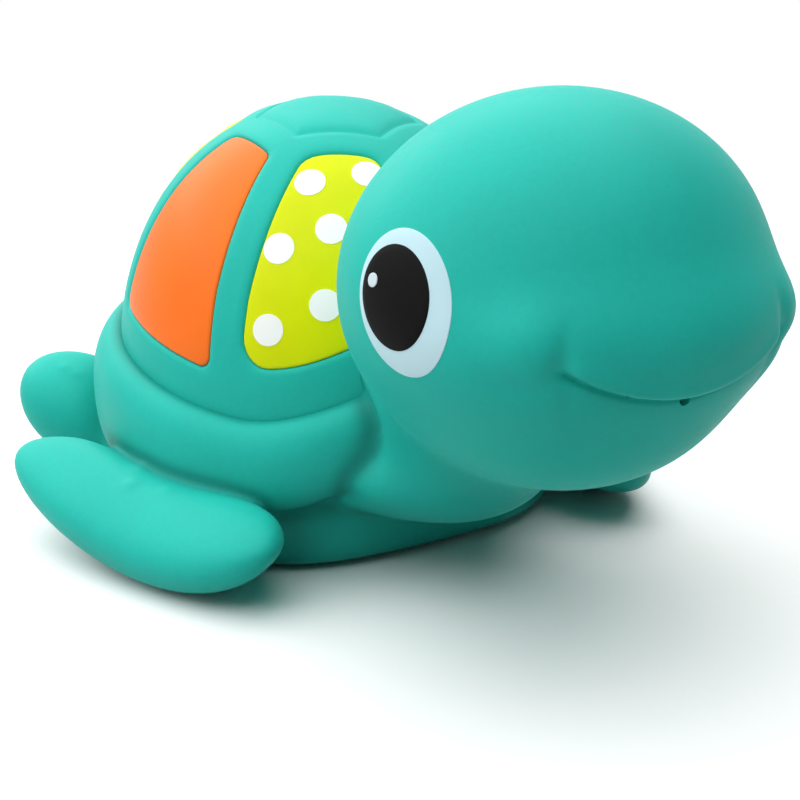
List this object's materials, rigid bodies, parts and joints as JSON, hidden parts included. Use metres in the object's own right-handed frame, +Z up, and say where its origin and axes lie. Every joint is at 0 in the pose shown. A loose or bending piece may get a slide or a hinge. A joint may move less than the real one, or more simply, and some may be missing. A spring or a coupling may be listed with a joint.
{
  "type": "squeeze bath toy",
  "caption": "Soft hollow vinyl turtle for the bath that squeaks and squirts when its shell is squeezed, with a flat base to stand on.",
  "frame": {"origin": "on the floor under the middle of the toy's bounding box", "axes": "+Z up, the turtle faces -Y, its right side is -X"},
  "size_m": [0.1126, 0.1422, 0.0815],
  "materials": {
    "teal_vinyl": "soft matte vinyl with a broad sheen",
    "shell_vinyl": "soft matte vinyl with a broad sheen",
    "rim_vinyl": "soft matte vinyl",
    "deep_teal_vinyl": "soft matte vinyl",
    "flipper_vinyl": "soft matte vinyl with a broad sheen",
    "lime_paint": "satin paint on vinyl",
    "orange_paint": "satin paint on vinyl",
    "white_paint": "satin paint on vinyl",
    "eye_white_paint": "satin paint on vinyl",
    "black_paint": "satin paint on vinyl",
    "glint_paint": "satin paint on vinyl",
    "squeaker_plastic": "natural moulded plastic",
    "reed_film": "thin clear film"
  },
  "bodies": {
    "turtle": {"head_skin": "teal_vinyl", "shell_rim": "rim_vinyl", "belly_skin": "deep_teal_vinyl", "front_flipper_right": "flipper_vinyl", "front_flipper_left": "flipper_vinyl", "rear_flipper_right": "flipper_vinyl", "rear_flipper_left": "flipper_vinyl", "eye_white_right": "eye_white_paint", "eye_white_left": "eye_white_paint", "pupil_right": "black_paint", "pupil_left": "black_paint", "eye_glint_right": "glint_paint", "eye_glint_left": "glint_paint", "squeaker_barrel": "squeaker_plastic", "reed_seat": "squeaker_plastic", "reed_wedge": "squeaker_plastic"},
    "shell": {"shell_dome": "shell_vinyl", "panel_front_right": "lime_paint", "panel_front_left": "lime_paint", "panel_side_right": "orange_paint", "panel_side_left": "orange_paint", "panel_rear_right": "lime_paint", "panel_rear_left": "lime_paint", "panel_dots": "white_paint"},
    "reed": {"reed_tongue": "reed_film"}
  },
  "joints": [
    {"name": "shell_squeeze", "type": "slide", "parent": "turtle", "child": "shell", "axis": [0, 0, -1], "range_m": [0, 0.006], "stiffness_N_per_m": 1500},
    {"name": "reed_flutter", "type": "hinge", "parent": "turtle", "child": "reed", "pos_m": [0, 0.02585, 0.0048], "axis": [1, 0, 0], "range_deg": [-3, 3], "stiffness_Nm_per_rad": 0.0005}
  ]
}
